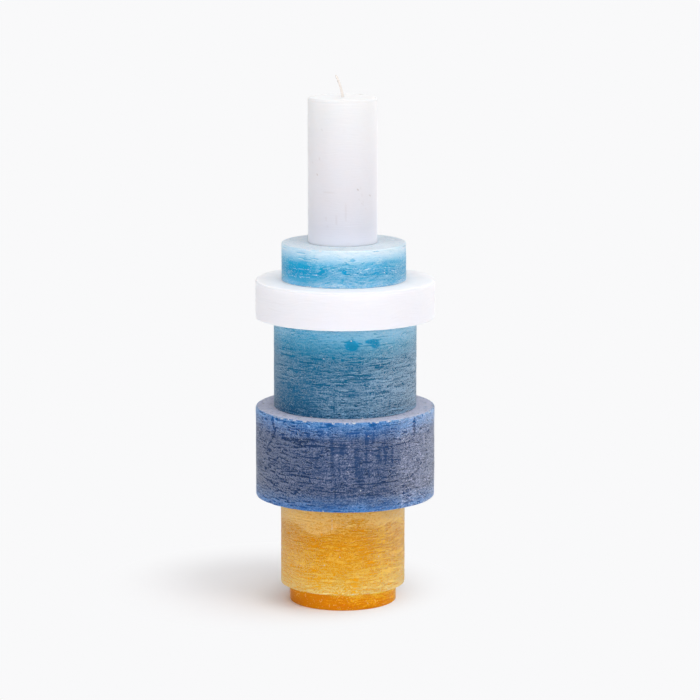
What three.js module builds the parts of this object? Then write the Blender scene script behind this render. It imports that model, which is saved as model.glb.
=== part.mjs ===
// A stacked candle: seven loose wax blocks standing on one another. Each block burns by itself or
// in the stack, so each has its own cotton wick down its middle, held by a tin sustainer that is
// pressed into its underside. Each upper block has a socket under that sustainer, which leaves room
// for the wick of the block below. Millimetres, +Z up, origin on the table under the widest blocks.
import * as THREE from "three";

// The blocks, from the table up.
const footDiameter = 59.2;
const footHeight = 10;
const yellowDiameter = 68.8;
const yellowHeight = 50;
const blueDiameter = 98.8;
const blueHeight = 49.5;
const tealDiameter = 78.6;
const tealHeight = 50;
const whiteDiameter = 98.6;
const whiteHeight = 20.5;
const skyDiameter = 68.4;
const skyHeight = 20.5;
const pillarDiameter = 38;
const pillarHeight = 79.5;

// The radius of their edges, sharp as cast, worn by handling, or drawn round on the pillar.
const sharpRim = 0.8;
const wornRim = 1;
const roundRim = 1.6;

// How far a block stands to one side of the widest ones.
const lowerOffset = -1.3;
const skyOffset = -0.7;
const pillarOffset = -1.3;

// A wider block takes a thicker wick.
const thinWick = 1.5;
const mediumWick = 2;
const thickWick = 2.6;

const blocks = [
  {
    name: "amber_foot",
    diameter: footDiameter,
    height: footHeight,
    rim: sharpRim,
    offset: lowerOffset,
    wickDiameter: mediumWick,
    sides: 60,
    colour: 0xd98a10,
    roughness: 0.5,
  },
  {
    name: "yellow_drum",
    diameter: yellowDiameter,
    height: yellowHeight,
    rim: wornRim,
    offset: lowerOffset,
    wickDiameter: mediumWick,
    sides: 60,
    colour: 0xe2a23a,
    roughness: 0.55,
  },
  {
    name: "blue_drum",
    diameter: blueDiameter,
    height: blueHeight,
    rim: wornRim,
    offset: 0,
    wickDiameter: thickWick,
    sides: 72,
    colour: 0x5a6c96,
    roughness: 0.6,
  },
  {
    name: "teal_drum",
    diameter: tealDiameter,
    height: tealHeight,
    rim: sharpRim,
    offset: 0,
    wickDiameter: mediumWick,
    sides: 60,
    colour: 0x5e88a4,
    roughness: 0.6,
  },
  {
    name: "white_disc",
    diameter: whiteDiameter,
    height: whiteHeight,
    rim: wornRim,
    offset: 0,
    wickDiameter: thickWick,
    sides: 72,
    colour: 0xf3f2f6,
    roughness: 0.5,
  },
  {
    name: "sky_disc",
    diameter: skyDiameter,
    height: skyHeight,
    rim: sharpRim,
    offset: skyOffset,
    wickDiameter: mediumWick,
    sides: 60,
    colour: 0x7cbfe2,
    roughness: 0.5,
  },
  {
    name: "pillar",
    diameter: pillarDiameter,
    height: pillarHeight,
    rim: roundRim,
    offset: pillarOffset,
    wickDiameter: thinWick,
    sides: 48,
    colour: 0xe9e8ee,
    roughness: 0.5,
  },
];

// How the blocks go together.
const seatGap = 0.05; // between two flat faces that rest on each other
const stubHeight = 8; // wick that stands out of a block's top, inside the next block's socket
const stubHeadroom = 2; // air left over that stub
const socketDiameter = 14;
const socketBevel = 0.5;
const floorClearance = 0.8; // the lowest sustainer stays this far off the table

// The free end of the top wick, which leans over to one side.
const tipHeight = 12;
const tipLean = 3.7;
const tipSteps = 8;

// The tin sustainers: a round plate with a neck that is crimped round the wick.
const plateThickness = 0.4;
const plateClearance = 0.7; // between the plate's edge and the socket's wall
const neckHeight = 4;
const neckWall = 0.4;
const crimpGap = 0.25; // between the wick and the neck
const neckGap = 0.3; // between the neck and the wax round it
const boreGap = 0.3; // between the wick and the wax round it

const rimSteps = 3;
const sustainerSides = 24;
const wickSides = 12;

const tin = new THREE.MeshStandardMaterial({ color: 0xb9bbbd, roughness: 0.35, metalness: 1 });
const cotton = new THREE.MeshStandardMaterial({ color: 0xede6da, roughness: 0.9, metalness: 0 });

// A solid turned about +Z from an outline of [radius, height] points, listed anticlockwise.
function turned(outline, sides) {
  const points = outline.map(([r, z]) => new THREE.Vector2(r, z));
  return new THREE.LatheGeometry(points, sides).rotateX(Math.PI / 2);
}

// The same for a ring, whose outline closes on itself.
function turnedRing(outline, sides) {
  return turned([...outline, outline[0]], sides);
}

// The points of a quarter round of this radius about [r, z], from one angle a quarter turn on.
function quarterRound(r, z, radius, start) {
  return Array.from({ length: rimSteps + 1 }, (_, i) => {
    const angle = start + (i / rimSteps) * (Math.PI / 2);
    return [r + radius * Math.cos(angle), z + radius * Math.sin(angle)];
  });
}

const neckRadius = (wickRadius) => wickRadius + crimpGap + neckWall;

// The wax: a cylinder with rounded edges, a bore for the wick, a wider seat for the sustainer's
// neck, and the socket in the underside.
function waxGeometry({ diameter, height, rim, sides }, wickRadius, socketDepth) {
  const radius = diameter / 2;
  const bore = wickRadius + boreGap;
  const neckSeat = neckRadius(wickRadius) + neckGap;
  const neckTop = socketDepth + neckHeight + seatGap;
  const socket = socketDiameter / 2;
  return turnedRing(
    [
      [bore, neckTop],
      [neckSeat, neckTop],
      [neckSeat, socketDepth],
      [socket, socketDepth],
      [socket, socketBevel],
      [socket + socketBevel, 0],
      ...quarterRound(radius - rim, rim, rim, -Math.PI / 2),
      ...quarterRound(radius - rim, height - rim, rim, 0),
      [bore, height],
    ],
    sides,
  );
}

// The sustainer: its plate lies against the socket's ceiling and its neck stands up in the wax.
function sustainerGeometry(wickRadius, plateTop) {
  const hole = wickRadius + crimpGap;
  const neck = neckRadius(wickRadius);
  const plate = socketDiameter / 2 - plateClearance;
  const plateBottom = plateTop - plateThickness;
  return turnedRing(
    [
      [hole, plateBottom],
      [plate, plateBottom],
      [plate, plateTop],
      [neck, plateTop],
      [neck, plateTop + neckHeight],
      [hole, plateTop + neckHeight],
    ],
    sustainerSides,
  );
}

// A straight wick from the underside of its sustainer to the top of its stub.
function straightWick(radius, bottom, top) {
  return new THREE.CylinderGeometry(radius, radius, top - bottom, wickSides)
    .rotateX(Math.PI / 2)
    .translate(0, 0, (bottom + top) / 2);
}

// The top wick: straight up through the wax, then curving over to one side.
function leaningWick(radius, bottom, waxTop) {
  const rows = Array.from({ length: tipSteps + 1 }, (_, i) => [
    radius,
    waxTop + (i / tipSteps) * tipHeight,
  ]);
  const outline = [[0, bottom], [radius, bottom], ...rows, [0, waxTop + tipHeight]];
  const geometry = turned(outline, wickSides);
  const places = geometry.attributes.position;
  for (let i = 0; i < places.count; i++) {
    const rise = Math.max(0, places.getZ(i) - waxTop) / tipHeight;
    places.setX(i, places.getX(i) - tipLean * rise ** 1.5);
  }
  return geometry;
}

function part(name, geometry, material) {
  const mesh = new THREE.Mesh(geometry, material);
  mesh.name = name;
  return mesh;
}

// One block with its wick and sustainer, standing on z = 0 about its own axis.
function buildBlock(block, isLowest, isTop) {
  const wickRadius = block.wickDiameter / 2;
  const plateDepth = plateThickness + seatGap;
  const socketDepth = plateDepth + (isLowest ? floorClearance : stubHeight + stubHeadroom);
  const plateTop = socketDepth - seatGap;
  const wickBottom = plateTop - plateThickness;
  const wickGeometry = isTop
    ? leaningWick(wickRadius, wickBottom, block.height)
    : straightWick(wickRadius, wickBottom, block.height + stubHeight);
  const wax = new THREE.MeshStandardMaterial({
    color: block.colour,
    roughness: block.roughness,
    metalness: 0,
  });
  const group = new THREE.Group();
  group.add(
    part(`${block.name}_wax`, waxGeometry(block, wickRadius, socketDepth), wax),
    part(`${block.name}_wick`, wickGeometry, cotton),
    part(`${block.name}_sustainer`, sustainerGeometry(wickRadius, plateTop), tin),
  );
  return group;
}

const stack = new THREE.Group();
let level = 0;
blocks.forEach((block, i) => {
  const group = buildBlock(block, i === 0, i === blocks.length - 1);
  group.position.set(block.offset, 0, level);
  stack.add(group);
  level += block.height + seatGap;
});

export default stack;
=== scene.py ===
# A stacked candle: seven loose blocks of wax standing on one another, from an amber foot on the
# table up to a white pillar with a bent wick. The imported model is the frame, and each section
# below makes one block in its place, or one kind of fitting that all the blocks have. The floor,
# the light and the camera come last.
import math

import bmesh
import bpy
import numpy as np
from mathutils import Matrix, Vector


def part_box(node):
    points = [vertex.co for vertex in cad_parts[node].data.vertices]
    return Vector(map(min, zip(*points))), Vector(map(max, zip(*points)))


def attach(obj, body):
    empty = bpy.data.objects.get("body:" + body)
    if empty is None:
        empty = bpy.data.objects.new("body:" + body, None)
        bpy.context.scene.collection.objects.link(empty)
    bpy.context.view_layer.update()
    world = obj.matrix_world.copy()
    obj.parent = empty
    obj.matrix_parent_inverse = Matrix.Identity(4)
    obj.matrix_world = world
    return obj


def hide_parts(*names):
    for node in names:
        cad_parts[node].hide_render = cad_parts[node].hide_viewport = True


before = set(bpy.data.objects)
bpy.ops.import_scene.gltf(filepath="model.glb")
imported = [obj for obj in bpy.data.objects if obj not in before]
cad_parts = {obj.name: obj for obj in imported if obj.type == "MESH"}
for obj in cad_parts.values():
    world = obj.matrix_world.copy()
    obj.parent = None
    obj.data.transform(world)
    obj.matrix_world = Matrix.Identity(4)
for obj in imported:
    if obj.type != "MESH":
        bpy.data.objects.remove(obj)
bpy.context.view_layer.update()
bpy.ops.object.select_all(action="DESELECT")
mm = 0.001


# The amber foot: a low cake of deep amber paraffin wax, cast in a round mould. It is cast
# smoother than the blocks above, with only a breath of bloom, and has painted shade low on its left.
wick_gap = 0.3 * mm  # between a wick and the wax round it
neck_room = 0.65 * mm  # from the bore out to the seat of the tab's neck
tab_gap = 0.7 * mm  # between a tab's plate and the wall of its socket
tab_plate = 0.4 * mm  # how thick a tab's plate is
seat_gap = 0.05 * mm  # between two faces that rest on each other
mouth_bevel = 0.5 * mm  # round the mouth of the socket
lower_rim = 0.2 * mm  # a block keeps its sharp edge where the mould was filled
wall_row = 0.32 * mm  # how tall the faces of a wall are
wall_column = 0.85 * mm  # how wide they are
cap_ring = 1.6 * mm  # how wide the rings of faces on a block's two ends are
skin_depth = 1.5 * mm  # how far in from the wall its swell and its chips reach
long_edge = 2 * mm  # only edges that are still to be cut into rows or rings are longer
near = 0.01 * mm  # places nearer to each other than this count as one


def pick(piece, parts, test):
    """Selects, in edit mode, only the faces or edges of the piece that pass the test."""
    bpy.ops.mesh.select_mode(type="FACE" if parts == "faces" else "EDGE")
    bpy.ops.mesh.select_all(action="DESELECT")
    mesh = bmesh.from_edit_mesh(piece.data)
    for part in getattr(mesh, parts):
        if test(part):
            part.select_set(True)
    bmesh.update_edit_mesh(piece.data)


def faces_up(face):
    return face.normal.z > 0.9


def faces_down(face):
    return face.normal.z < -0.9


def is_at(edge, level):
    """Whether both ends of the edge lie at this level."""
    return max(abs(vertex.co.z - level) for vertex in edge.verts) < near


def reach_from(centre):
    """A function for how far a vertex lies from the upright line through this centre."""
    return lambda vertex: math.hypot(vertex.co.x - centre.x, vertex.co.y - centre.y)


def add_cylinder(name, sides, radius, depth, place):
    """Adds an upright cylinder about this place and opens it for editing."""
    bpy.ops.mesh.primitive_cylinder_add(vertices=sides, radius=radius, depth=depth, location=place)
    made = bpy.context.object
    made.name = name
    bpy.ops.object.transform_apply(location=True, rotation=False, scale=False)
    bpy.ops.object.mode_set(mode="EDIT")
    return made


def extrude(height):
    """Pulls the selected faces straight up by this height."""
    bpy.ops.mesh.extrude_region_move(TRANSFORM_OT_translate={"value": (0, 0, height)})


def open_bore(piece, reach, bore):
    """Takes away the faces that close a bore at both ends and puts its wall between them."""
    pick(piece, "faces", lambda face: max(map(reach, face.verts)) < bore + near)
    bpy.ops.mesh.delete(type="ONLY_FACE")
    pick(piece, "edges", lambda edge: edge.is_boundary)
    bpy.ops.mesh.bridge_edge_loops()


def cast_block(block, rim):
    """A block of wax: a cylinder with worn rims, a bore for its wick and a socket underneath."""
    low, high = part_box(f"{block}_wax")
    wick_low, wick_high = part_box(f"{block}_wick")
    tab_low, tab_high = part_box(f"{block}_sustainer")
    centre = (low + high) / 2
    reach = reach_from(centre)
    radius = (high.x - low.x) / 2
    bore = (wick_high.y - wick_low.y) / 2 + wick_gap
    neck = bore + neck_room
    socket = (tab_high.x - tab_low.x) / 2 + tab_gap
    ceiling = tab_low.z + tab_plate + seat_gap

    def is_outer(edge):
        return min(map(reach, edge.verts)) > radius - near

    def crosses_an_end(edge):
        first, second = edge.verts
        is_at_end = is_at(edge, low.z) or is_at(edge, high.z)
        return is_at_end and abs(reach(first) - reach(second)) > long_edge

    columns = 4 * round(2 * math.pi * radius / wall_column / 4)
    piece = add_cylinder(f"{block}_block", columns, radius, high.z - low.z, centre)
    pick(piece, "faces", faces_up)
    bpy.ops.mesh.inset(thickness=radius - bore)
    pick(piece, "faces", faces_down)
    bpy.ops.mesh.inset(thickness=radius - socket - mouth_bevel)
    bpy.ops.mesh.inset(thickness=mouth_bevel, depth=-mouth_bevel)
    extrude(ceiling - low.z - mouth_bevel)
    bpy.ops.mesh.inset(thickness=socket - neck)
    extrude(tab_high.z + 2 * seat_gap - ceiling)
    bpy.ops.mesh.inset(thickness=neck - bore)
    open_bore(piece, reach, bore)
    for level, width in ((low.z, lower_rim), (high.z, rim)):
        pick(piece, "edges", lambda edge: is_at(edge, level) and is_outer(edge))
        bpy.ops.mesh.bevel(offset=width, segments=4, affect="EDGES")
    pick(piece, "edges", lambda edge: is_outer(edge) and edge.calc_length() > long_edge)
    bpy.ops.mesh.subdivide(number_cuts=round((high.z - low.z - rim - lower_rim) / wall_row) - 1)
    pick(piece, "edges", crosses_an_end)
    bpy.ops.mesh.subdivide(number_cuts=round((radius - socket) / cap_ring) - 1)
    bpy.ops.object.mode_set(mode="OBJECT")
    return piece


def read_places(piece):
    """The places of a piece's vertices, one to a row."""
    places = np.empty(len(piece.data.vertices) * 3, np.float32)
    piece.data.vertices.foreach_get("co", places)
    return places.reshape(-1, 3)


def unroll(piece, block):
    """The skin of a block laid flat: each vertex's angle from the front, height and reach.

    The height runs on over the rims: past the top it grows inwards, and below 0 it falls inwards.
    """
    low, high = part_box(f"{block}_wax")
    x, y, z = read_places(piece).T
    x = x - (low.x + high.x) / 2
    y = y - (low.y + high.y) / 2
    radius = (high.x - low.x) / 2
    reach = np.hypot(x, y)
    inward = radius - reach
    return {
        "angle": np.degrees(np.arctan2(x, -y)),
        "height": z - low.z + np.where(z > (low.z + high.z) / 2, inward, -inward),
        "reach": reach,
        "radius": radius,
        "tall": high.z - low.z,
        "on_top": (z > high.z - near).astype(float),
    }


def add_group(piece, name, weights):
    """Gives the piece a vertex group with those of these weights that are above 0."""
    group = piece.vertex_groups.new(name=name)
    for vertex in np.flatnonzero(weights > 0):
        group.add([int(vertex)], float(weights[vertex]), "REPLACE")


def weather(piece, skin, swell, ridge):
    """Gives the skin the slow swell and the fine level ridges of a block poured by hand."""
    add_group(piece, "wall", np.clip(1 - (skin["radius"] - skin["reach"]) / skin_depth, 0, 1))
    bpy.ops.object.empty_add()
    ruler = bpy.context.object
    ruler.scale = (7 * mm, 7 * mm, 0.9 * mm)  # draws its clouds out level, into ridges
    bpy.context.view_layer.update()
    bpy.context.view_layer.objects.active = piece
    for depth, width, coordinates in ((swell, 18 * mm, None), (ridge, 1, ruler)):
        texture = bpy.data.textures.new("cast", "CLOUDS")
        texture.noise_scale = width
        cast = piece.modifiers.new("cast", "DISPLACE")
        cast.texture = texture
        cast.mid_level = 0.45
        cast.strength = depth
        cast.vertex_group = "wall"
        if coordinates:
            cast.texture_coords = "OBJECT"
            cast.texture_coords_object = coordinates
        bpy.ops.object.modifier_apply(modifier=cast.name)
    piece.vertex_groups.clear()
    bpy.data.objects.remove(ruler)


def finish_block(piece, block, wax):
    """Shades the block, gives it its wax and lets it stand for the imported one."""
    bpy.ops.object.select_all(action="DESELECT")
    piece.select_set(True)
    bpy.context.view_layer.objects.active = piece
    bpy.ops.object.shade_smooth_by_angle(angle=math.radians(50))
    piece.data.materials.append(wax)
    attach(piece, block)
    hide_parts(f"{block}_wax")


def screen(red, green, blue):
    """The linear colour that a screen shows as this one, from 0 to 255."""
    shares = [channel / 255 for channel in (red, green, blue)]
    return [((c + 0.055) / 1.055) ** 2.4 if c > 0.04 else c / 12.92 for c in shares] + [1]


def fill(tree, made, inputs):
    """Fills a node's inputs, each with a value or with another node's output."""
    for name, value in inputs.items():
        if isinstance(value, bpy.types.NodeSocket):
            tree.links.new(value, made.inputs[name])
        else:
            made.inputs[name].default_value = value


def node(tree, kind, inputs=None, **settings):
    """Adds a node to a tree, with these settings and inputs."""
    made = tree.nodes.new(kind)
    for name, value in settings.items():
        setattr(made, name, value)
    fill(tree, made, inputs or {})
    return made


def compute(tree, operation, *values):
    """The output of a Math node."""
    return node(tree, "ShaderNodeMath", dict(enumerate(values)), operation=operation).outputs[0]


def blend(tree, factor, first, second):
    """The colour that lies this far from the first to the second."""
    sockets = {0: factor, 6: first, 7: second}
    return node(tree, "ShaderNodeMix", sockets, data_type="RGBA").outputs[2]


def new_group(name, inputs, outputs):
    """A node group with these sockets, each given as its name and kind."""
    tree = bpy.data.node_groups.new(name, "ShaderNodeTree")
    for side, sockets in (("INPUT", inputs), ("OUTPUT", outputs)):
        for socket, kind in sockets.items():
            tree.interface.new_socket(socket, in_out=side, socket_type=f"NodeSocket{kind}")
    return tree, node(tree, "NodeGroupInput").outputs, node(tree, "NodeGroupOutput").inputs


# Streaks lie nearly level round a block and wave a little. Tilt turns the noise over, for grain.
streak_noise, given, result = new_group(
    "streak_noise",
    {"Across": "Float", "Up": "Float", "Lift": "Float", "Tilt": "Float"},
    {"Value": "Float"},
)
place = node(streak_noise, "ShaderNodeTexCoord").outputs["Object"]
wave = node(streak_noise, "ShaderNodeTexNoise", {"Vector": place, "Scale": 55, "Detail": 0})
wave = compute(streak_noise, "MULTIPLY_ADD", wave.outputs["Fac"], 5 * mm, given["Lift"])
shift = node(streak_noise, "ShaderNodeCombineXYZ", {"Z": wave}).outputs[0]
shifted = node(streak_noise, "ShaderNodeVectorMath", {0: place, 1: shift}).outputs[0]
turn = node(streak_noise, "ShaderNodeCombineXYZ", {"X": given["Tilt"], "Y": given["Tilt"], "Z": 0.5})
turned = node(
    streak_noise,
    "ShaderNodeVectorRotate",
    {"Vector": shifted, "Rotation": turn.outputs[0]},
    rotation_type="EULER_XYZ",
).outputs[0]
across = compute(streak_noise, "DIVIDE", 1, given["Across"])
up = compute(streak_noise, "DIVIDE", 1, given["Up"])
density = node(streak_noise, "ShaderNodeCombineXYZ", {"X": across, "Y": across, "Z": up}).outputs[0]
drawn = node(streak_noise, "ShaderNodeVectorMath", {0: turned, 1: density}, operation="MULTIPLY")
blots = node(streak_noise, "ShaderNodeTexNoise", {"Vector": drawn.outputs[0], "Scale": 1, "Detail": 1})
value = compute(streak_noise, "SUBTRACT", blots.outputs["Fac"], 0.5)
streak_noise.links.new(value, result["Value"])


def noise(tree, across, up, strength=1, lift=0, tilt=0.04):
    """Noise about nought whose blots are this long across the block and this tall."""
    inputs = {"Across": across, "Up": up, "Lift": lift, "Tilt": tilt}
    made = node(tree, "ShaderNodeGroup", inputs, node_tree=streak_noise)
    return compute(tree, "MULTIPLY", made.outputs["Value"], strength)


def step(tree, value, low, high):
    """A soft step from 0 to 1 as the value goes from low to high."""
    sizes = {"Value": value, "From Min": low, "From Max": high}
    made = node(tree, "ShaderNodeMapRange", sizes, interpolation_type="SMOOTHSTEP")
    return made.outputs["Result"]


def rise(tree, block, warp):
    """How far up the block a point lies, from 0 to 1, with the bands' edges waving by warp."""
    low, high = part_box(f"{block}_wax")
    place = node(tree, "ShaderNodeTexCoord").outputs["Object"]
    height = node(tree, "ShaderNodeSeparateXYZ", {0: place}).outputs["Z"]
    height = compute(tree, "ADD", height, noise(tree, 9 * mm, 4 * mm, 2 * warp))
    sizes = {"Value": height, "From Min": low.z, "From Max": high.z}
    return node(tree, "ShaderNodeMapRange", sizes).outputs["Result"]


def bands(tree, factor, stops):
    """Colours that follow one another up the block, each given with its place from 0 to 1."""
    made = node(tree, "ShaderNodeValToRGB", {"Fac": factor})
    ramp = made.color_ramp
    while len(ramp.elements) < len(stops):
        ramp.elements.new(0.5)
    for element, (position, colour) in zip(ramp.elements, stops):
        element.position = position
    # The colours come last, because moving one stop past another would swap them.
    for element, (position, colour) in zip(ramp.elements, stops):
        element.color = colour
    return made.outputs["Color"]


def new_material(name):
    """A new material, its node tree and its shader."""
    made = bpy.data.materials.new(name)
    made.use_nodes = True
    return made, made.node_tree, made.node_tree.nodes["Principled BSDF"]


def new_wax(name, roughness, share, glow, glow_colour):
    """A wax in which this share of the light goes in and comes out again up to glow away."""
    wax, tree, shader = new_material(name)
    inputs = {
        "Roughness": roughness,
        "IOR": 1.44,
        "Specular IOR Level": 0.08,
        "Sheen Weight": 0.7,
        "Sheen Roughness": 0.17,
        "Subsurface Weight": share,
        "Subsurface Scale": glow,
        "Subsurface Radius": glow_colour,
    }
    fill(tree, shader, inputs)
    return wax, tree, shader


def roughen(tree, shader, height, depth):
    """Gives the shader small relief from a height that runs from about 0 to 1."""
    bump = node(tree, "ShaderNodeBump", {"Height": height, "Distance": depth})
    fill(tree, shader, {"Normal": bump.outputs[0]})


def keep(piece, **masks):
    """Keeps weights on the mesh under their names, for the wax to read."""
    for name, weights in masks.items():
        mask = piece.data.attributes.new(name, "FLOAT", "POINT")
        mask.data.foreach_set("value", weights.astype(np.float32))


def kept(tree, name):
    """The weights kept on the mesh under this name."""
    return node(tree, "ShaderNodeAttribute", attribute_name=name).outputs["Fac"]


def extra_film(skin, around, up):
    """How much more film there is, by angle and by share of the height. Some blocks paint shade and sheen
    with it by angle.
    """
    share = skin["height"] / skin["tall"]
    return np.interp(skin["angle"], *zip(*around)) + np.interp(share, *zip(*up))


amber_wax, tree, shader = new_wax("amber_wax", 0.45, 0.8, 2.5 * mm, (1, 0.5, 0.1))
height = rise(tree, "amber_foot", 1 * mm)
deep = [(0, screen(224, 138, 0)), (0.6, screen(222, 138, 0)), (1, screen(232, 152, 0))]
film = [(0, screen(240, 164, 0)), (0.6, screen(252, 200, 50)), (1, screen(255, 214, 92))]
haze = compute(tree, "ADD", noise(tree, 7 * mm, 1 * mm, 3), noise(tree, 0.7 * mm, 0.5 * mm, 3))
haze = compute(tree, "MULTIPLY_ADD", height, 0.5, haze)
haze = compute(tree, "ADD", haze, kept(tree, "extra"))
shade = blend(tree, haze, bands(tree, height, deep), bands(tree, height, film))
# Painted shade: a darker red-brown low on the left, under the yellow drum's overhang.
shade = blend(tree, kept(tree, "dark"), shade, screen(150, 70, 0))
flecks = step(tree, noise(tree, 1.2 * mm, 0.8 * mm, tilt=0.7), 0.15, 0.19)
shade = blend(tree, compute(tree, "MULTIPLY", flecks, 0.5), shade, screen(252, 216, 140))
fill(tree, shader, {"Base Color": shade})
roughen(tree, shader, noise(tree, 2.4 * mm, 0.6 * mm), 0.3 * mm)

foot = cast_block("amber_foot", rim=0.8 * mm)
skin = unroll(foot, "amber_foot")
weather(foot, skin, swell=0.15 * mm, ridge=0.05 * mm)
# Less film on the left paints shade on that side; it fades out towards the middle of the top.
extra = extra_film(
    skin, around=[(-180, 0), (-75, -1), (-20, -0.6), (15, 0), (180, 0)], up=[(0, -0.1), (1, 0.15)]
)
extra *= np.interp(skin["reach"] / skin["radius"], (0.35, 0.95), (0, 1))
# Painted shade, strongest low on the left.
dark = 0.6 * np.interp(skin["angle"], (-130, -75, -50, -20), (0, 1, 0.6, 0))
dark *= np.interp(skin["height"] / skin["tall"], (0, 1), (1, 0.1))
keep(foot, extra=extra, dark=dark)
finish_block(foot, "amber_foot", amber_wax)


# The yellow drum: rustic wax poured too cool into its mould, so that pale level streaks of bloom
# lie over deep yellow. A greenish tan smear runs round under its top, scratched white in places.
def stroke(skin, start, end, width):
    """Weights of a stroke from one angle and height to another: 1 along its middle, 0 outside."""
    here = np.array([skin["angle"], skin["height"] / mm])
    scale = np.array([math.radians(1) * skin["radius"] / mm, 1])
    start, end = np.array(start) * scale, np.array(end) * scale
    offset = here * scale[:, None] - start[:, None]
    along = end - start
    share = np.clip(along @ offset / (along @ along + 1e-9), 0, 1)
    distance = np.hypot(*(offset - along[:, None] * share))
    return np.clip(1.3 - 1.3 * (distance / (width / 2)) ** 2, 0, 1)


def strokes(skin, *marks):
    """Weights of strokes, each given as (angle, height, angle, height, width) in mm."""
    weights = [stroke(skin, mark[:2], mark[2:4], mark[4]) for mark in marks]
    return np.max(weights, axis=0)


def patches(skin, *marks):
    """Weights of soft oval patches, each (angle, height, width across, height up) in mm."""
    weights = np.zeros_like(skin["height"])
    for angle, height, wide, tall in marks:
        along = np.radians(skin["angle"] - angle) * skin["radius"] / mm
        upward = skin["height"] / mm - height
        inside = 1 - (2 * along / wide) ** 2 - (2 * upward / tall) ** 2
        weights = np.maximum(weights, np.clip(inside, 0, 1))
    return weights


def dashes(skin, seed, count, long, thick):
    """Weights of the short level scars that cold wax leaves, each with a raised lip below it as weights
    below 0, on which the wax paints a highlight.
    """
    chance = np.random.default_rng(seed)
    scars = np.zeros_like(skin["height"])
    lips = np.zeros_like(skin["height"])
    for _ in range(count):
        angle = chance.uniform(-180, 180)
        height = chance.uniform(0, skin["tall"] / mm)
        length = long * chance.lognormal(0, 0.5) / (math.radians(1) * skin["radius"] / mm)
        end = (angle + length, height + chance.normal(0, 0.25))
        width = thick * chance.uniform(0.8, 1.4)
        depth = chance.uniform(0.5, 1)
        scars = np.maximum(scars, depth * stroke(skin, (angle, height), end, width))
        below = stroke(skin, (angle, height - width), (end[0], end[1] - width), width)
        lips = np.maximum(lips, depth * below)
    return np.where(scars > 0, scars, -lips)


def chips(skin, seed, count, size):
    """Weights of small chips knocked out of both rims."""
    chance = np.random.default_rng(seed)
    weights = np.zeros_like(skin["height"])
    for _ in range(count):
        angle = chance.uniform(-180, 180)
        height = chance.choice([0, skin["tall"] / mm])
        wide = size * chance.lognormal(0, 0.5)
        chip = patches(skin, (angle, height, wide, wide * chance.uniform(0.6, 1.2)))
        weights = np.maximum(weights, chip * chance.uniform(0.4, 1))
    return weights * (skin["reach"] > skin["radius"] - skin_depth)


def worn_rims(skin, seed):
    """Weights along both rims, where handling broke the wax white in places."""
    steps = 240
    width = 0.8 * mm
    worn = np.random.default_rng(seed).random(steps) ** 2
    angles = np.linspace(-180, 180, steps + 1)
    strength = np.interp(skin["angle"], angles, np.append(worn, worn[0]))
    from_end = np.minimum(skin["height"], skin["tall"] - skin["height"])
    return strength * (from_end < width) * (skin["reach"] > skin["radius"] - width)


def press_in(piece, weights, depth):
    """Presses the skin in by this depth where the weights are 1."""
    add_group(piece, "pressed", weights)
    press = piece.modifiers.new("press", "DISPLACE")
    press.vertex_group = "pressed"
    press.mid_level = 0
    press.strength = -depth
    bpy.ops.object.modifier_apply(modifier=press.name)
    piece.vertex_groups.clear()


# Bloom is the whitish film on rustic wax. Deep, Film and Dust are the colours of the wax, of the
# film and of the film where it is thick. Cover is how much of the wax it hides, Grain how coarse it
# is, Streaks and Wiped how strongly it is torn level and upright and Nick Shade how dark the painted
# shade is in its nicks and where it is rubbed bare. Bare And Lit Lips is where it was rubbed off, and
# below 0 where a highlight is painted on the lip of a scar. Dust And Sheen is where it is thick and
# where a sheen is painted on, Even where it lies smooth and Chalk where the wax broke.
bloom, given, result = new_group(
    "bloom",
    {
        "Deep": "Color",
        "Film": "Color",
        "Dust": "Color",
        "Cover": "Float",
        "Grain": "Float",
        "Streaks": "Float",
        "Wiped": "Float",
        "Hollow": "Float",
        "Bare": "Float",
        "Chalk": "Float",
        "Dusty": "Float",
        "Even": "Float",
    },
    {"Color": "Color", "Roughness": "Float", "Height": "Float"},
)
grain = noise(bloom, 0.55 * mm, 0.55 * mm, 2.2, tilt=0.7)
long_streaks = noise(bloom, 10 * mm, 0.8 * mm, 2.2)
short_streaks = noise(bloom, 2.4 * mm, 0.65 * mm, 1.7)
upright_smears = noise(bloom, 1.8 * mm, 14 * mm, 2.4)
clouds = noise(bloom, 11 * mm, 6 * mm, 0.5)
torn = compute(bloom, "SUBTRACT", 1, given["Even"])
nicks = step(bloom, noise(bloom, 2.6 * mm, 0.9 * mm), 0.14, 0.17)
nicks = compute(bloom, "MULTIPLY", nicks, torn)
# Painted highlights on the lips just under the nicks.
lips = step(bloom, noise(bloom, 2.6 * mm, 0.9 * mm, lift=0.7 * mm), 0.14, 0.17)
lips = compute(bloom, "MULTIPLY", lips, torn)
streaks = compute(bloom, "ADD", long_streaks, short_streaks)
tears = compute(bloom, "MULTIPLY_ADD", streaks, given["Streaks"], clouds)
tears = compute(bloom, "MULTIPLY_ADD", upright_smears, given["Wiped"], tears)
tears = compute(bloom, "MULTIPLY_ADD", grain, given["Grain"], tears)
contrast = compute(bloom, "MULTIPLY", compute(bloom, "ADD", given["Cover"], 0.35), torn)
thickness = compute(bloom, "MULTIPLY_ADD", tears, contrast, given["Cover"])
thickness = compute(bloom, "MULTIPLY_ADD", lips, 0.35, thickness)
thickness = compute(bloom, "MULTIPLY_ADD", nicks, -1, thickness)
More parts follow.
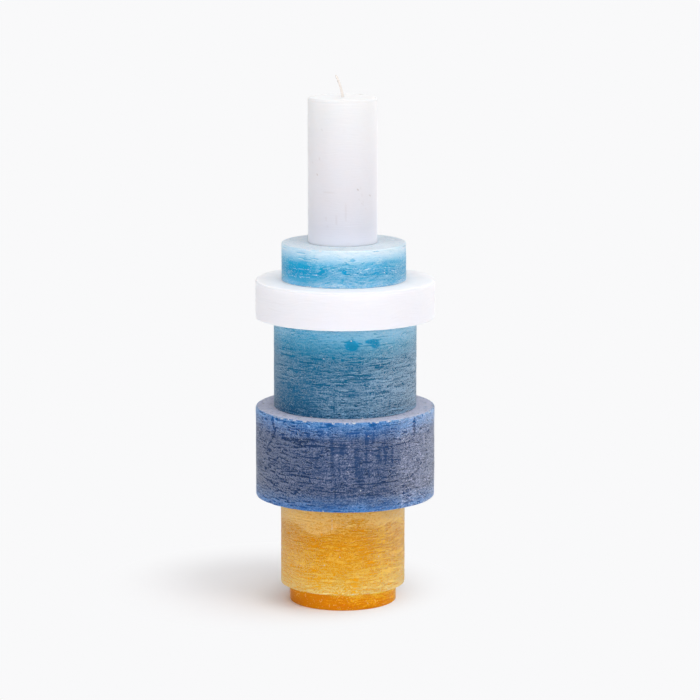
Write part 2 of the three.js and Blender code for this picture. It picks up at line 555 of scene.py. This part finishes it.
# Painted highlights on the lips under the scars.
lip = compute(bloom, "MINIMUM", given["Bare"], 0)
thickness = compute(bloom, "MULTIPLY_ADD", lip, -0.5, thickness)
ragged = compute(bloom, "MULTIPLY_ADD", short_streaks, 0.5, given["Bare"])
rubbed = step(bloom, compute(bloom, "MULTIPLY_ADD", grain, 0.3, ragged), 0.2, 0.7)
thickness = compute(bloom, "MULTIPLY_ADD", rubbed, -0.8, thickness)
thickness = node(bloom, "ShaderNodeMapRange", {"Value": thickness}).outputs["Result"]
colour = blend(bloom, thickness, given["Deep"], given["Film"])
dusty = compute(bloom, "MULTIPLY_ADD", short_streaks, 0.5, given["Dusty"])
dusty = step(bloom, compute(bloom, "MULTIPLY_ADD", grain, 0.5, dusty), 0.2, 0.8)
colour = blend(bloom, dusty, colour, given["Dust"])
chalky = compute(bloom, "MULTIPLY", given["Chalk"], compute(bloom, "ADD", grain, 1))
colour = blend(bloom, step(bloom, chalky, 0.3, 0.7), colour, screen(226, 231, 238))
# Painted shade in the nicks and where the film is rubbed bare.
cut = compute(bloom, "MAXIMUM", step(bloom, given["Bare"], 0.55, 0.8), nicks)
colour = blend(bloom, compute(bloom, "MULTIPLY", cut, given["Hollow"]), colour, (0, 0, 0, 1))
bloom.links.new(colour, result["Color"])
bloom.links.new(compute(bloom, "MULTIPLY_ADD", thickness, 0.2, 0.42), result["Roughness"])
relief = compute(bloom, "MULTIPLY_ADD", nicks, -0.6, thickness)
bloom.links.new(compute(bloom, "MULTIPLY_ADD", grain, 0.5, relief), result["Height"])


def rustic_wax(name, block, deep, film, dust, cover, grain, streaks, wiped, hollow, warp):
    """Rustic wax, with bands of its deep colour and of its film's from the bottom to the top."""
    wax, tree, shader = new_wax(name, 0.5, 0.25, 1.4 * mm, (1, 0.7, 0.5))
    height = rise(tree, block, warp)
    inputs = {
        "Deep": bands(tree, height, deep),
        "Film": bands(tree, height, film),
        "Dust": dust,
        "Cover": compute(tree, "ADD", kept(tree, "extra"), cover),
        "Grain": grain,
        "Streaks": streaks,
        "Wiped": wiped,
        "Hollow": hollow,
        "Bare": kept(tree, "bare"),
        "Chalk": kept(tree, "chalk"),
        "Dusty": kept(tree, "dusty"),
        "Even": kept(tree, "even"),
    }
    skin = node(tree, "ShaderNodeGroup", inputs, node_tree=bloom).outputs
    fill(tree, shader, {"Base Color": skin["Color"], "Roughness": skin["Roughness"]})
    roughen(tree, shader, skin["Height"], 0.35 * mm)
    return wax


yellow_wax = rustic_wax(
    "yellow_wax",
    "yellow_drum",
    # The bands are lighter towards the bottom and darker towards the top: painted light from the floor and
    # painted shade under the blue drum's overhang.
    deep=[
        (0, screen(255, 185, 0)),
        (0.12, screen(252, 174, 0)),
        (0.3, screen(245, 163, 0)),
        (0.6, screen(230, 147, 0)),
        (0.8, screen(230, 149, 0)),
    ],
    film=[
        (0, screen(255, 224, 146)),
        (0.12, screen(255, 210, 106)),
        (0.3, screen(255, 199, 78)),
        (0.6, screen(246, 184, 60)),
        (0.8, screen(248, 200, 104)),
    ],
    dust=screen(252, 202, 120),
    cover=0.46,
    grain=1.8,
    streaks=1.3,
    wiped=0.12,
    hollow=0.04,
    warp=2 * mm,
)
yellow = cast_block("yellow_drum", rim=0.9 * mm)
skin = unroll(yellow, "yellow_drum")
weather(yellow, skin, swell=0.3 * mm, ridge=0.12 * mm)
scars = strokes(skin, (-52, 13.5, -40, 13.5, 0.8), (-51, 28, -45, 28, 0.8))
scars = np.where(scars > 0, scars, dashes(skin, seed=21, count=300, long=5, thick=0.55))
knocks = np.maximum(
    chips(skin, seed=22, count=40, size=1.2),
    patches(skin, (55, 0.3, 2.4, 1.2)),
)
scratches = strokes(
    skin,
    (-44, 34.5, -36, 35.5, 0.7),
    (-43, 36, -42.5, 44, 0.5),
    (-10, 37, -9.5, 46, 0.35),
    (0, 37.5, 5, 39, 0.6),
    (5, 39, 8, 41, 0.6),
    (8, 36.3, 20, 37.2, 0.7),
    (50, 36.5, 66, 37.5, 0.6),
)
specks = patches(
    skin,
    (35.5, 20.5, 1, 1),
    (-17, 16.5, 1, 1),
    (-20, 14.5, 1, 0.8),
    (16, 14.5, 1.1, 1),
    (-3, 21.5, 0.9, 0.9),
)
smear_edge = np.interp(
    skin["angle"],
    (-180, -120, -60, -42, -35, -24, -12, 0, 22, 35, 65, 120, 180),
    (35, 33, 36, 35, 32, 30.5, 33, 37, 36, 35.5, 37, 34, 35),
)
smear = np.clip((skin["height"] / mm - smear_edge) / 3, 0, 1)
smear = smear * (1 - patches(skin, (13.5, 40.5, 13, 5)))
press_in(yellow, np.maximum(scars, knocks), 0.2 * mm)
# More film on the right and a little on the left: a painted sheen on the sides towards the lamps.
extra = extra_film(
    skin,
    around=[(-180, 0), (-60, 0.12), (0, 0), (30, 0.1), (42, 0.42), (70, 0.5), (110, 0.1), (180, 0)],
    up=[(0, 0.1), (0.2, 0.06), (0.4, 0), (0.6, -0.1), (0.8, 0)],
)
chalk = np.maximum.reduce([0.45 * scratches, specks, 0.5 * worn_rims(skin, seed=23)])
# The smear and the film on both sides are painted paler towards the edges, as a painted sheen.
dusty = smear * np.interp(np.abs(skin["angle"]), (0, 20, 60), (0.5, 0.58, 0.74))
dusty = np.maximum(dusty, 0.34 * np.interp(np.abs(skin["angle"]), (28, 50, 80, 100), (0, 1, 1, 0)))
keep(yellow, bare=scars, chalk=chalk, dusty=dusty, even=0.5 * smear, extra=extra)
finish_block(yellow, "yellow_drum", yellow_wax)


# The blue drum: the widest of the tall blocks, in violet blue wax. Upright smears cross its level
# scars, a grey bloom lies over its middle, and its rims are worn to a clear bright blue, painted
# brighter still as light glowing through the wax.
blue_wax = rustic_wax(
    "blue_wax",
    "blue_drum",
    # Both rims are painted a brighter, clearer blue: painted light glowing through the wax there.
    deep=[
        (0, screen(40, 102, 176)),
        (0.1, screen(50, 87, 142)),
        (0.2, screen(42, 68, 109)),
        (0.78, screen(42, 70, 114)),
        (0.9, screen(34, 83, 147)),
        (1, screen(32, 108, 182)),
    ],
    film=[
        (0, screen(108, 160, 220)),
        (0.1, screen(124, 154, 198)),
        (0.2, screen(130, 140, 170)),
        (0.78, screen(130, 143, 176)),
        (0.9, screen(128, 166, 216)),
        (1, screen(140, 188, 236)),
    ],
    dust=screen(222, 224, 250),
    cover=0.37,
    grain=2,
    streaks=0.8,
    wiped=0.35,
    hollow=0.32,
    warp=2.5 * mm,
)
blue = cast_block("blue_drum", rim=1 * mm)
skin = unroll(blue, "blue_drum")
weather(blue, skin, swell=0.35 * mm, ridge=0.15 * mm)
scars = strokes(
    skin,
    (-44, 38.3, -25, 37.6, 0.9),
    (-58, 29.5, -53, 29.5, 0.9),
    (-52, 25, -46, 25, 0.9),
    (-58, 22.5, -53, 22.5, 0.8),
    (-43, 32, -39, 32, 0.9),
    (-42, 23.2, -37, 23, 0.9),
    (-38, 19.3, -30, 19, 0.9),
    (-63, 19.5, -57, 19.5, 0.8),
    (-31, 15.5, -20, 15.5, 0.7),
    (-24, 40, -17, 40, 0.7),
    (-19, 24.5, -15, 24.5, 0.9),
    (5, 15.5, 36, 15.8, 0.8),
    (25, 18.5, 29, 18.5, 0.8),
    (38.5, 21.6, 42.5, 21.6, 1),
    (38, 16.3, 47, 16.5, 0.9),
    (-24, 12, 0, 11, 0.6),
    (2, 9, 22, 9.3, 0.6),
    (-26, 28, -22, 26.5, 0.7),
    (-22, 26.5, -22.5, 17, 0.7),
)
scars = np.where(scars > 0, scars, dashes(skin, seed=31, count=520, long=3.2, thick=0.7))
is_left = np.abs(skin["angle"] + 52) < 30
left_scars = dashes(skin, seed=34, count=1300, long=2.4, thick=0.72) * is_left
scars = np.where(scars > 0, scars, np.clip(1.6 * left_scars, -1, 1))
rubs = strokes(
    skin,
    (-6, 6, -6, 10, 2),
    (-6, 16.5, -6, 19, 2),
    (43, 1, 44, 9, 3.5),
    (-8, 23, -8, 41, 3),
    (-1.7, 32, -1.7, 37, 4.2),
    (7, 30.5, 7, 34, 4),
    (9, 17, 8.5, 28, 6.5),
    (13.2, 26, 13.2, 36, 2),
    (14, 38, 14, 43, 4),
    (18, 38, 18, 43, 3),
    (22, 27, 22, 35, 3.5),
    (26, 28, 26, 35, 3.5),
    (31, 27, 31, 34, 2.5),
    (36, 25, 36, 33, 2),
    (48.5, 38, 48.5, 41, 2),
    (52, 25, 52.5, 28, 2),
)
clear = np.maximum(
    strokes(
        skin,
        (-52, 44, -50, 42, 2.4),
        (-50, 42, -53, 37, 2),
        (-53, 37, -59, 31, 1.4),
        (-50, 48.1, -27, 48.1, 0.7),
        (49.5, 40, 49.5, 48, 2.6),
    ),
    patches(skin, (-10, 48.3, 6, 3), (17.5, 48, 6, 3.5), (-53, 47.5, 4, 4)),
)
pale_bars = strokes(
    skin,
    (2.5, 16, 3, 37, 3),
    (-4.8, 20, -4.8, 38, 1.4),
    (16.4, 22.5, 16.4, 35, 2.6),
    (5.5, 29.6, 9, 29.8, 0.9),
    (7, 25, 10, 25.2, 0.8),
    (56, 25, 63, 33, 3),
    (-48, 47.8, -42, 48, 0.8),
    (-12, 41, -12, 43.5, 2),
)
scratches = strokes(skin, (-46, 19, -46, 25, 0.5), (-61, 5, -61, 10, 0.5))
specks = patches(
    skin,
    (14.5, 42, 1.3, 1),
    (-24.5, 5.5, 1, 0.9),
    (10, 12, 0.9, 0.9),
    (38, 0.5, 1.2, 1),
    (54, 0.5, 1.2, 1),
    (-21, 0.3, 1.2, 0.9),
    (-14, 0.5, 1, 0.9),
)
knocks = chips(skin, seed=32, count=70, size=1.3)
press_in(blue, np.maximum.reduce([scars, knocks, 0.2 * rubs, 0.2 * clear]), 0.22 * mm)
# More film on the right: a painted sheen on the side towards the key and edge lamps.
extra = extra_film(
    skin,
    around=[(-180, 0), (-75, -0.02), (-25, -0.02), (-15, 0), (28, 0), (40, 0.3), (80, 0.36), (180, 0)],
    up=[(0, 0.02), (0.12, 0.04), (0.2, 0), (0.8, 0), (0.92, 0.04), (1, 0.06)],
)
worn = np.maximum(0.45 * rubs, 0.85 * clear)
bare = np.where(worn > 0, np.maximum(scars, worn), scars)
upper = np.where(skin["height"] > skin["tall"] / 2, 0.9, 0.4)
chalk = np.maximum.reduce([0.5 * scratches, specks, upper * worn_rims(skin, seed=33)])
rim = np.interp(skin["height"] / skin["tall"], (0, 0.06, 0.12, 0.86, 0.92), (0.4, 0.2, 0, 0, 0.4))
# A paler film on the right, as a painted sheen.
pale_right = 0.25 * np.interp(skin["angle"], (30, 40, 90, 120), (0, 1, 1, 0))
dusty = np.maximum.reduce([0.22 * pale_bars, 0.74 * skin["on_top"], pale_right])
even = np.maximum(0.5 * pale_bars, rim * (1 - skin["on_top"]))
keep(blue, bare=bare, chalk=chalk, dusty=dusty, even=even, extra=extra)
finish_block(blue, "blue_drum", blue_wax)


# The teal drum: petrol blue wax with long level scars. Towards the top its bloom lies smoother and
# it is painted lighter, as light from the white disc above; two blots of the clear wax show there.
# It has painted shade low down on its left and a painted sheen on its right.
teal_wax = rustic_wax(
    "teal_wax",
    "teal_drum",
    # The bands are painted lighter towards the top, as light from the white disc above.
    deep=[
        (0, screen(14, 76, 116)),
        (0.12, screen(22, 90, 128)),
        (0.3, screen(18, 97, 137)),
        (0.6, screen(10, 105, 146)),
        (0.75, screen(0, 128, 172)),
        (0.92, screen(44, 160, 204)),
    ],
    film=[
        (0, screen(128, 178, 214)),
        (0.12, screen(140, 175, 202)),
        (0.3, screen(144, 175, 202)),
        (0.6, screen(134, 174, 202)),
        (0.75, screen(116, 174, 202)),
        (0.92, screen(160, 206, 230)),
    ],
    dust=screen(178, 198, 216),
    cover=0.38,
    grain=1.2,
    streaks=0.9,
    wiped=0.12,
    hollow=0.12,
    warp=2 * mm,
)
teal = cast_block("teal_drum", rim=0.8 * mm)
skin = unroll(teal, "teal_drum")
weather(teal, skin, swell=0.3 * mm, ridge=0.14 * mm)
scars = strokes(
    skin,
    (-60, 36, -46, 36, 0.8),
    (-62, 32.5, -44, 32.5, 0.8),
    (-28, 32.5, -18, 32.5, 0.9),
    (-38, 30, -26, 30, 0.9),
    (-51, 25.5, -30, 25.5, 0.8),
    (-24, 24, -19, 24, 0.9),
    (-27, 18.5, -12, 18.5, 0.9),
    (-7, 18.7, 0, 18.7, 0.8),
    (0, 21.5, 30, 21.5, 0.9),
    (19, 26.5, 28, 26.5, 0.8),
    (24, 28, 32, 28, 0.8),
    (20, 29, 37, 29, 0.8),
    (-5, 24, 17, 24, 0.8),
    (42, 20, 58, 20, 0.8),
    (43, 16, 55, 16, 0.8),
    (53, 26, 64, 26, 0.8),
    (28, 13.5, 38, 13.5, 0.8),
    (-50, 15, -44, 15, 0.8),
)
scars = np.where(scars > 0, scars, dashes(skin, seed=41, count=300, long=4, thick=0.6))
rubs = strokes(
    skin,
    (17, 8, 17, 18, 1.4),
    (38, 5, 39, 15, 2.6),
    (44, 28, 44, 32, 1.2),
    (-8.5, 4, -8.5, 13, 1.2),
)
blots = patches(
    skin,
    (5.5, 40.5, 9, 7),
    (22, 42, 10, 3.6),
    (25, 40.5, 6, 6),
    (-2, 32.3, 2.4, 2),
    (-9, 33.5, 2.4, 2),
)
specks = patches(skin, (5, 43, 1.4, 0.9), (9, 33, 0.9, 0.9), (-17, 33, 0.9, 0.9), (51, 8, 1, 1))
knocks = chips(skin, seed=42, count=50, size=1.1)
low_scars = scars * (skin["height"] < 38 * mm)
press_in(teal, np.maximum.reduce([low_scars, knocks, 0.2 * rubs]), 0.2 * mm)
# Less film on the left, as painted shade, and more on the right, as a painted sheen.
extra = extra_film(
    skin,
    around=[(-180, 0), (-70, -0.1), (-28, -0.12), (-8, -0.02), (8, 0.05), (20, 0.26), (70, 0.28), (180, 0)],
    up=[(0, 0), (0.7, 0), (0.8, 0.06), (0.92, 0.22), (1, 0.3)],
)
# Painted shade: thinner film low down on the left.
extra -= 0.3 * patches(skin, (-62, 4, 70, 36))
worn = np.maximum(0.4 * rubs, 0.8 * np.sqrt(blots))
bare = np.where(worn > 0, np.maximum(scars, worn), scars)
chalk = np.maximum(specks, 0.5 * worn_rims(skin, seed=43))
even = np.interp(skin["height"] / skin["tall"], (0.66, 0.84, 0.9), (0, 0.8, 0.7))
even *= np.interp(skin["angle"], (-70, -35, -5, 45, 70), (0.3, 0.4, 1, 1, 0.4))
# A paler film on the right, as a painted sheen.
pale_right = 0.24 * np.interp(skin["angle"], (16, 30, 90, 120), (0, 1, 1, 0))
dusty = np.maximum(0.75 * skin["on_top"], pale_right)
keep(teal, bare=bare, chalk=chalk, dusty=dusty, even=np.maximum(even, blots), extra=extra)
finish_block(teal, "teal_drum", teal_wax)


# The white disc: smooth white wax from a polished mould, as wide as the blue drum. Faint level
# lines and the softened rims are all that show on it, with painted shade on its rounded top rim and
# painted light on its top face.
def smooth_wax(name, block, stops):
    """Smooth white wax, with bands of colour from the block's bottom to its top."""
    wax, tree, shader = new_wax(name, 0.45, 1, 3 * mm, (1, 0.9, 0.85))
    height = rise(tree, block, 0.1 * mm)
    shade = bands(tree, height, stops)
    lines = compute(tree, "ADD", noise(tree, 16 * mm, 0.6 * mm), 0.5)
    darker = blend(tree, 0.4, shade, screen(224, 224, 230))
    shade = blend(tree, lines, darker, shade)
    shade = blend(tree, kept(tree, "marks"), shade, screen(150, 122, 100))
    fill(tree, shader, {"Base Color": shade})
    relief = compute(tree, "ADD", noise(tree, 8 * mm, 0.7 * mm), noise(tree, 4 * mm, 4 * mm))
    roughen(tree, shader, relief, 0.08 * mm)
    return wax


white_wax = smooth_wax(
    "white_wax",
    "white_disc",
    # A darker band on the rounded top rim is painted shade; the lighter, warmer top face is painted light.
    [
        (0, screen(237, 236, 242)),
        (0.94, screen(241, 240, 244)),
        (0.965, screen(226, 225, 230)),
        (0.99, screen(226, 225, 230)),
        (1, screen(255, 247, 248)),
    ],
)
white = cast_block("white_disc", rim=1 * mm)
skin = unroll(white, "white_disc")
weather(white, skin, swell=0.25 * mm, ridge=0.05 * mm)
knocks = chips(skin, seed=52, count=24, size=1.1)
scuffs = strokes(skin, (-62, 12, -40, 12.6, 0.4), (-58, 8.5, -44, 8.3, 0.4), (30, 6, 44, 5.6, 0.4))
press_in(white, knocks, 0.15 * mm)
keep(white, marks=np.maximum(0.08 * knocks, 0.06 * scuffs))
finish_block(white, "white_disc", white_wax)


# The sky disc: light blue rustic wax. Its upper rim is nearly white, thick bloom with painted light
# glowing through the wax, with a ragged edge down to the clear blue of its middle.
sky_wax = rustic_wax(
    "sky_wax",
    "sky_disc",
    # The bands are painted paler towards the top, as light glowing through the wax under the top face.
    deep=[
        (0, screen(110, 190, 232)),
        (0.14, screen(70, 170, 212)),
        (0.38, screen(6, 152, 202)),
        (0.62, screen(30, 168, 214)),
        (0.78, screen(118, 194, 230)),
        (0.9, screen(160, 212, 240)),
    ],
    film=[
        (0, screen(216, 236, 248)),
        (0.14, screen(192, 220, 238)),
        (0.38, screen(166, 211, 235)),
        (0.62, screen(180, 222, 242)),
        (0.78, screen(212, 236, 250)),
        (0.9, screen(230, 242, 252)),
    ],
    dust=screen(228, 241, 254),
    cover=0.36,
    grain=0.6,
    streaks=0.8,
    wiped=0.05,
    hollow=0,
    warp=2 * mm,
)
sky = cast_block("sky_disc", rim=0.8 * mm)
skin = unroll(sky, "sky_disc")
weather(sky, skin, swell=0.25 * mm, ridge=0.12 * mm)
scars = dashes(skin, seed=61, count=26, long=4, thick=0.6)
rubs = patches(skin, (-47, 10, 16, 4.5), (-20, 9.5, 4, 3), (8, 15.5, 4, 2.6), (0.5, 9, 3.4, 3.4))
pale_bars = strokes(
    skin,
    (-30, 9.5, 0, 9.5, 0.5),
    (-18, 10.5, -2, 12, 0.5),
    (5, 7, 18, 9, 0.6),
    (18, 10, 30, 10, 0.5),
    (-62, 6.5, -20, 7, 0.5),
)
pale_bars = np.maximum(pale_bars, dashes(skin, seed=64, count=70, long=9, thick=0.5))
specks = patches(
    skin,
    (2, 20.2, 2, 0.9),
    (13, 20.1, 1.6, 1),
    (-49, 8.7, 1, 0.8),
    (40, 7.7, 1, 0.9),
    (56, 6.8, 1, 0.8),
    (57, 10.5, 2, 0.7),
    (41, 10.3, 0.9, 0.8),
)
knocks = chips(skin, seed=62, count=40, size=1.1)
press_in(sky, np.maximum(scars, knocks), 0.18 * mm)
# Thinner film towards both sides, most on the left where it paints shade; thicker towards the top, with the
# painted glow.
extra = extra_film(
    skin,
    around=[(-180, 0), (-60, -0.4), (-40, -0.36), (-20, -0.14), (0, 0), (30, -0.08), (70, -0.18), (180, 0)],
    up=[(0, 0.1), (0.2, 0), (0.6, 0.04), (0.75, 0.33), (1, 0.52)],
)
bare = np.where(rubs > 0, np.maximum(scars, 0.8 * rubs), scars)
chalk = np.maximum(specks, 0.6 * worn_rims(skin, seed=63))
dusty = np.maximum(0.37 * pale_bars, 0.7 * skin["on_top"])
even = np.interp(skin["height"] / skin["tall"], (0.55, 0.75, 0.95), (0.1, 0.75, 0.8))
keep(sky, bare=bare, chalk=chalk, dusty=dusty, even=even * (1 - skin["on_top"]), extra=extra)
finish_block(sky, "sky_disc", sky_wax)


# The pillar: a plain white pillar candle, drawn from a tall mould, so its edges are round. It is
# clean white at the top and turns a little grey and lilac towards the blue wax it stands on: painted
# shade and painted blue light from the sky disc. Its rounded top rim has painted shade.
pillar_wax = smooth_wax(
    "pillar_wax",
    "pillar",
    # Painted shade and blue light low down; the darker band on the rounded top rim is painted shade and the
    # top face is painted a little lighter.
    [
        (0, screen(230, 230, 238)),
        (0.12, screen(216, 216, 224)),
        (0.3, screen(221, 219, 224)),
        (0.6, screen(229, 227, 230)),
        (0.975, screen(236, 236, 236)),
        (0.982, screen(223, 223, 223)),
        (0.998, screen(223, 223, 223)),
        (1, screen(240, 240, 240)),
    ],
)
pillar = cast_block("pillar", rim=1.6 * mm)
skin = unroll(pillar, "pillar")
weather(pillar, skin, swell=0.2 * mm, ridge=0.03 * mm)
specks = patches(
    skin,
    (-37, 63, 1.2, 0.9),
    (-41, 47.5, 1.2, 0.9),
    (-60, 44.5, 1.3, 0.9),
    (-46, 38.5, 1.1, 0.9),
    (26, 31, 1, 0.9),
    (51, 27, 1, 0.8),
)
scuffs = strokes(
    skin,
    (-33, 29.5, 10, 29, 0.4),
    (27, 26, 42, 20, 0.5),
    (30, 33, 36, 24, 0.4),
    (-12, 22, -10, 12, 0.6),
    (4, 24, 6, 14, 0.8),
    (-30, 18, -26, 11, 0.5),
)
crumb = patches(skin, (142, 80.8, 3.6, 2.4))
keep(pillar, marks=np.maximum.reduce([0.5 * specks, 0.09 * scuffs, 0.9 * np.sqrt(crumb)]))
finish_block(pillar, "pillar", pillar_wax)


# The wicks: three strands of cotton braided flat and dipped in wax. Each is held by its tab, runs
# up its block and stands out of the top. The pillar's is the one that shows, bent to the left.
cotton, tree, shader = new_material("cotton")
yarn = compute(tree, "ADD", noise(tree, 0.25 * mm, 0.7 * mm, 1.6), 0.5)
yarn = blend(tree, yarn, screen(230, 221, 213), screen(240, 233, 227))
fill(tree, shader, {"Base Color": yarn, "Roughness": 0.7})
roughen(tree, shader, noise(tree, 0.2 * mm, 0.5 * mm), 0.05 * mm)
strand_share = 0.34  # a strand's radius as a share of the wick's thickness
strand_row = 0.35 * mm  # how tall a strand's faces are
braid_pitch = 4.2 * mm  # the height in which a strand comes back to its place
end_step = 0.4 * mm  # how much lower each strand ends than the one before
taper_height = 0.8 * mm  # over which a strand's end narrows to half
lean = 3.7 * mm  # how far the pillar's wick bends over to the left
tip_height = 12 * mm  # and over what height
blocks = (
    "amber_foot",
    "yellow_drum",
    "blue_drum",
    "teal_drum",
    "white_disc",
    "sky_disc",
    "pillar",
)
for block in blocks:
    low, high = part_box(f"{block}_wick")
    wax_low, wax_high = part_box(f"{block}_wax")
    middle = (wax_low.x + wax_high.x) / 2
    thickness = high.y - low.y
    strand = strand_share * thickness
    sway = thickness / 2 - strand
    strands = []
    for turn in range(3):
        top = high.z - turn * end_step
        half_way = (0, 0, (low.z + top) / 2)
        thread = add_cylinder(f"{block}_strand", 10, strand, top - low.z, half_way)
        pick(thread, "edges", lambda edge: edge.calc_length() > long_edge)
        bpy.ops.mesh.subdivide(number_cuts=round((top - low.z) / strand_row))
        bpy.ops.object.mode_set(mode="OBJECT")
        places = read_places(thread)
        phase = 2 * math.pi * (places[:, 2] / braid_pitch + turn / 3)
        taper = 1 - 0.5 * np.clip((places[:, 2] - top + taper_height) / taper_height, 0, 1) ** 2
        places[:, :2] *= taper[:, None]
        places[:, 0] += middle + sway * np.sin(phase)
        places[:, 1] += 0.7 * sway * np.sin(2 * phase)
        if block == "pillar":
            above = np.clip((places[:, 2] - high.z + tip_height) / tip_height, 0, None)
            places[:, 0] -= lean * above**1.5
        thread.data.vertices.foreach_set("co", places.ravel())
        strands.append(thread)
    for thread in strands:
        thread.select_set(True)
    bpy.ops.object.join()
    braid = bpy.context.object
    braid.name = f"{block}_braid"
    bpy.ops.object.shade_smooth_by_angle(angle=math.radians(60))
    braid.data.materials.append(cotton)
    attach(braid, block)
    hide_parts(f"{block}_wick")


# The sustainers: a round tin plate for each wick, with a raised rim and ring stamped in it and a
# neck round the wick, with two crimps on all but the pillar's. Each is pressed into the socket
# under its block.
crimp_gap = 0.25 * mm  # between the wick and the neck
neck_wall = 0.4 * mm
pinch = 0.86  # what a crimp leaves of the neck's width
stamp = 0.1 * mm  # how deep the rim and the ring are stamped
# The rings of the underside from the edge in, each as its width and how far it falls or rises.
rings = (
    (0.5 * mm, 0),
    (0.2 * mm, -stamp),
    (1.3 * mm, 0),
    (0.2 * mm, stamp),
    (0.5 * mm, 0),
    (0.2 * mm, -stamp),
)
tin, tree, shader = new_material("tin")
dull = compute(tree, "ADD", noise(tree, 1.5 * mm, 1.5 * mm, 1.8, tilt=0.7), 0.5)
shade = blend(tree, dull, screen(206, 208, 210), screen(186, 188, 192))
gloss = compute(tree, "MULTIPLY_ADD", dull, 0.25, 0.2)
fill(tree, shader, {"Base Color": shade, "Roughness": gloss, "Metallic": 1})
roughen(tree, shader, noise(tree, 0.3 * mm, 0.3 * mm, tilt=0.7), 0.02 * mm)
for block in blocks:
    low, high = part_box(f"{block}_sustainer")
    wick_low, wick_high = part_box(f"{block}_wick")
    hole = (wick_high.y - wick_low.y) / 2 + crimp_gap
    neck = hole + neck_wall
    plate = (high.x - low.x) / 2
    centre = Vector(((low.x + high.x) / 2, (low.y + high.y) / 2, low.z + tab_plate / 2))
    reach = reach_from(centre)

    def is_on_neck(edge):
        return max(abs(reach(vertex) - neck) for vertex in edge.verts) < near

    tab = add_cylinder(f"{block}_tab", 48, plate, tab_plate, centre)
    pick(tab, "faces", faces_up)
    bpy.ops.mesh.inset(thickness=plate - neck)
    extrude(high.z - low.z - tab_plate)
    bpy.ops.mesh.inset(thickness=neck - hole)
    pick(tab, "faces", faces_down)
    for width, depth in rings:
        bpy.ops.mesh.inset(thickness=width, depth=depth)
    bpy.ops.mesh.inset(thickness=plate - hole - sum(width for width, _ in rings))
    open_bore(tab, reach, hole)
    pick(tab, "edges", lambda edge: is_on_neck(edge) and edge.calc_length() > long_edge)
    bpy.ops.mesh.subdivide(number_cuts=7)
    for share in (0.5, 0.75):
        crimp = high.z - share * (high.z - low.z - tab_plate)
        pick(tab, "edges", lambda edge: is_on_neck(edge) and is_at(edge, crimp))
        middle = (centre.x, centre.y, crimp)
        bpy.ops.transform.resize(value=(pinch, pinch, 1), center_override=middle)
    bpy.ops.object.mode_set(mode="OBJECT")
    bpy.ops.object.shade_smooth_by_angle(angle=math.radians(40))
    tab.data.materials.append(tin)
    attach(tab, block if block == "amber_foot" else f"{block}_core")
    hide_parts(f"{block}_sustainer")


# The floor: a wide pale sheet under the candle that takes its soft shadow, behind it on the left.
# Away from the shadow it turns into an even pale backdrop.
def seen_directly(tree):
    """1 for rays from the camera, also by way of a mirror or glass, and 0 for all others."""
    ray = node(tree, "ShaderNodeLightPath").outputs
    seen = compute(tree, "MAXIMUM", ray["Is Camera Ray"], ray["Is Glossy Ray"])
    return compute(tree, "MAXIMUM", seen, ray["Is Transmission Ray"])


bpy.ops.mesh.primitive_circle_add(vertices=96, radius=12, fill_type="NGON")
floor = bpy.context.object
floor.name = "floor"
pale, tree, shader = new_material("pale_floor")
inputs = {"Base Color": screen(250, 249, 250), "Roughness": 0.6, "Specular IOR Level": 0.2}
fill(tree, shader, inputs)
place = node(tree, "ShaderNodeTexCoord").outputs["Object"]
shadow_middle = {0: place, 1: (-0.038, 0.027, 0)}
distance = node(tree, "ShaderNodeVectorMath", shadow_middle, operation="DISTANCE").outputs["Value"]
far = step(tree, distance, 0.04, 0.102)
backdrop = node(tree, "ShaderNodeEmission", {"Color": screen(249, 249, 250), "Strength": 1})
share = compute(tree, "MULTIPLY", far, seen_directly(tree))
surfaces = {0: share, 1: shader.outputs[0], 2: backdrop.outputs[0]}
mixed = node(tree, "ShaderNodeMixShader", surfaces)
tree.links.new(mixed.outputs[0], tree.nodes["Material Output"].inputs["Surface"])
floor.data.materials.append(pale)


# The light: a white room, a wide soft lamp overhead, a key lamp on the right, weaker ones on the
# left and in front, and a low one behind on the right that puts a soft shine on that edge.
world = bpy.data.worlds.new("white_room")
bpy.context.scene.world = world
world.use_nodes = True
tree = world.node_tree
light = blend(tree, seen_directly(tree), (0.37, 0.37, 0.37, 1), screen(249, 249, 250))
tree.links.new(light, tree.nodes["Background"].inputs["Color"])


def add_lamp(name, place, aim, size, power):
    """A square lamp of this size, turned from its place to its aim."""
    bpy.ops.object.light_add(type="AREA", location=place)
    lamp = bpy.context.object
    lamp.name = name
    lamp.data.size = size
    lamp.data.energy = power
    lamp.rotation_euler = (Vector(place) - Vector(aim)).to_track_quat("Z", "Y").to_euler()


add_lamp("overhead", place=(0, -0.3, 1.9), aim=(0, 0, 0.12), size=1.4, power=17.5)
add_lamp("key", place=(1.5, -1.1, 0.9), aim=(0, 0, 0.12), size=1.2, power=11)
add_lamp("fill", place=(-1.5, -1.1, 0.5), aim=(0, 0, 0.12), size=1.2, power=8)
add_lamp("front", place=(0.2, -2.4, 0.4), aim=(0, 0, 0.1), size=1.2, power=11)
add_lamp("edge", place=(0.92, 1.1, 0.25), aim=(0, 0, 0.14), size=0.9, power=5)


# The camera: at the photograph's place, a little above the candle and 1.7 m in front of it.
bpy.ops.object.camera_add(
    location=(0.0027, -1.683, 0.45), rotation=(math.radians(90 - 10.42), 0, 0)
)
camera = bpy.context.object
camera.data.sensor_fit = "HORIZONTAL"
camera.data.angle = math.radians(12.87)
bpy.context.scene.camera = camera
bpy.context.scene.view_settings.view_transform = "Standard"
